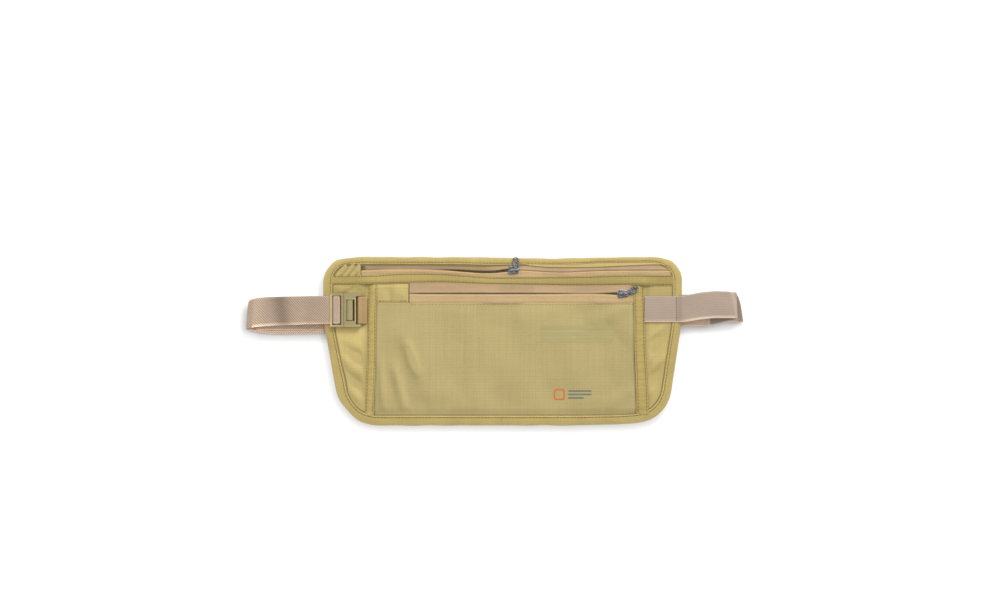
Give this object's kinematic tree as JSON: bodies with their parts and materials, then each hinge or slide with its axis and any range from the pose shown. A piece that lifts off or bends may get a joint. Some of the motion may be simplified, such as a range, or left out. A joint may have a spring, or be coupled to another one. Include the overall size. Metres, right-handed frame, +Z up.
{
  "type": "money belt",
  "caption": "Flat bound fabric waist pouch with zipped main and front pockets, a folded elastic belt and a flat centre-release buckle.",
  "frame": {"origin": "on the back face of the rearmost belt layer, at the belt's centre height and the pouch's middle", "axes": "+Z up the wearer, +X to the right of someone facing the pouch, -Y out of the front with the zips; +Y towards the wearer"},
  "size_m": [0.3906, 0.0161, 0.1314],
  "materials": {
    "ripstop": "fine ripstop weave, soft satin",
    "binding": "folded grosgrain tape, matt",
    "liner": "metallised shielding film on cloth, low sheen",
    "zip_tape": "fine woven tape, matt",
    "zip_coil": "nylon coil",
    "slider_metal": "gunmetal plating, satin",
    "elastic": "ribbed elastic, matt",
    "webbing": "soft twill webbing, matt",
    "anchor_tape": "woven tape, matt",
    "buckle_plastic": "moulded acetal, fine spark texture",
    "thread": "polyester thread",
    "print_tonal": "thin heat-transfer print",
    "print_orange": "thin heat-transfer print",
    "print_grey": "thin heat-transfer print"
  },
  "bodies": {
    "pouch": {"back_panel": "ripstop", "main_front_panel": "ripstop", "top_zip_garage": "ripstop", "front_zip_garage": "ripstop", "front_pocket_panel": "ripstop", "pocket_band_left": "ripstop", "pocket_band_right": "ripstop", "divider_band": "ripstop", "pocket_floor_hem": "ripstop", "edge_binding": "binding", "rfid_liner_rear": "liner", "rfid_liner_front": "liner", "top_zip_tape_upper": "zip_tape", "top_zip_tape_lower": "zip_tape", "front_zip_tape_upper": "zip_tape", "front_zip_tape_lower": "zip_tape", "top_zip_coil_upper": "zip_coil", "top_zip_coil_lower": "zip_coil", "front_zip_coil_upper": "zip_coil", "front_zip_coil_lower": "zip_coil", "top_zip_stops": "slider_metal", "front_zip_stops": "slider_metal", "belt_elastic": "elastic", "elastic_bar_tack": "thread", "buckle_anchor_loop": "anchor_tape", "buckle_female": "buckle_plastic", "print_bars": "print_tonal", "print_badge": "print_orange", "print_dashes": "print_grey"},
    "top_slider": {"top_slider_body": "slider_metal", "top_slider_crown": "slider_metal"},
    "top_pull": {"top_pull_tab": "slider_metal"},
    "front_slider": {"front_slider_body": "slider_metal", "front_slider_crown": "slider_metal"},
    "front_pull": {"front_pull_tab": "slider_metal"},
    "buckle_latch_half": {"buckle_male": "buckle_plastic", "belt_webbing": "webbing", "belt_join_tacks": "thread"},
    "buckle_press_tongue": {"buckle_tongue": "buckle_plastic"}
  },
  "joints": [
    {"name": "top_zip_slide", "type": "slide", "parent": "pouch", "child": "top_slider", "axis": [1, 0, 0], "range_m": [-0.1125, 0.113], "deforming": ["top_zip_coil_upper", "top_zip_coil_lower", "top_zip_tape_upper", "top_zip_tape_lower"]},
    {"name": "top_pull_swing", "type": "hinge", "parent": "top_slider", "child": "top_pull", "pos_m": [0.0117, -0.012, 0.0313], "axis": [0, -1, 0], "range_deg": [-95, 30]},
    {"name": "front_zip_slide", "type": "slide", "parent": "pouch", "child": "front_slider", "axis": [1, 0, 0], "range_m": [-0.16, 0.002], "deforming": ["front_zip_coil_upper", "front_zip_coil_lower", "front_zip_tape_upper", "front_zip_tape_lower"]},
    {"name": "front_pull_swing", "type": "hinge", "parent": "front_slider", "child": "front_pull", "pos_m": [0.0975, -0.0149, 0.013], "axis": [0, -1, 0], "range_deg": [-114, 76]},
    {"name": "buckle_release", "type": "slide", "parent": "pouch", "child": "buckle_latch_half", "axis": [-1, 0, 0], "range_m": [0, 0.025], "deforming": ["belt_elastic", "buckle_tongue"]},
    {"name": "tongue_press", "type": "hinge", "parent": "buckle_latch_half", "child": "buckle_press_tongue", "pos_m": [-0.1247, -0.01275, 0], "axis": [0, 0, 1], "range_deg": [0, 12], "stiffness_Nm_per_rad": 0.3}
  ]
}
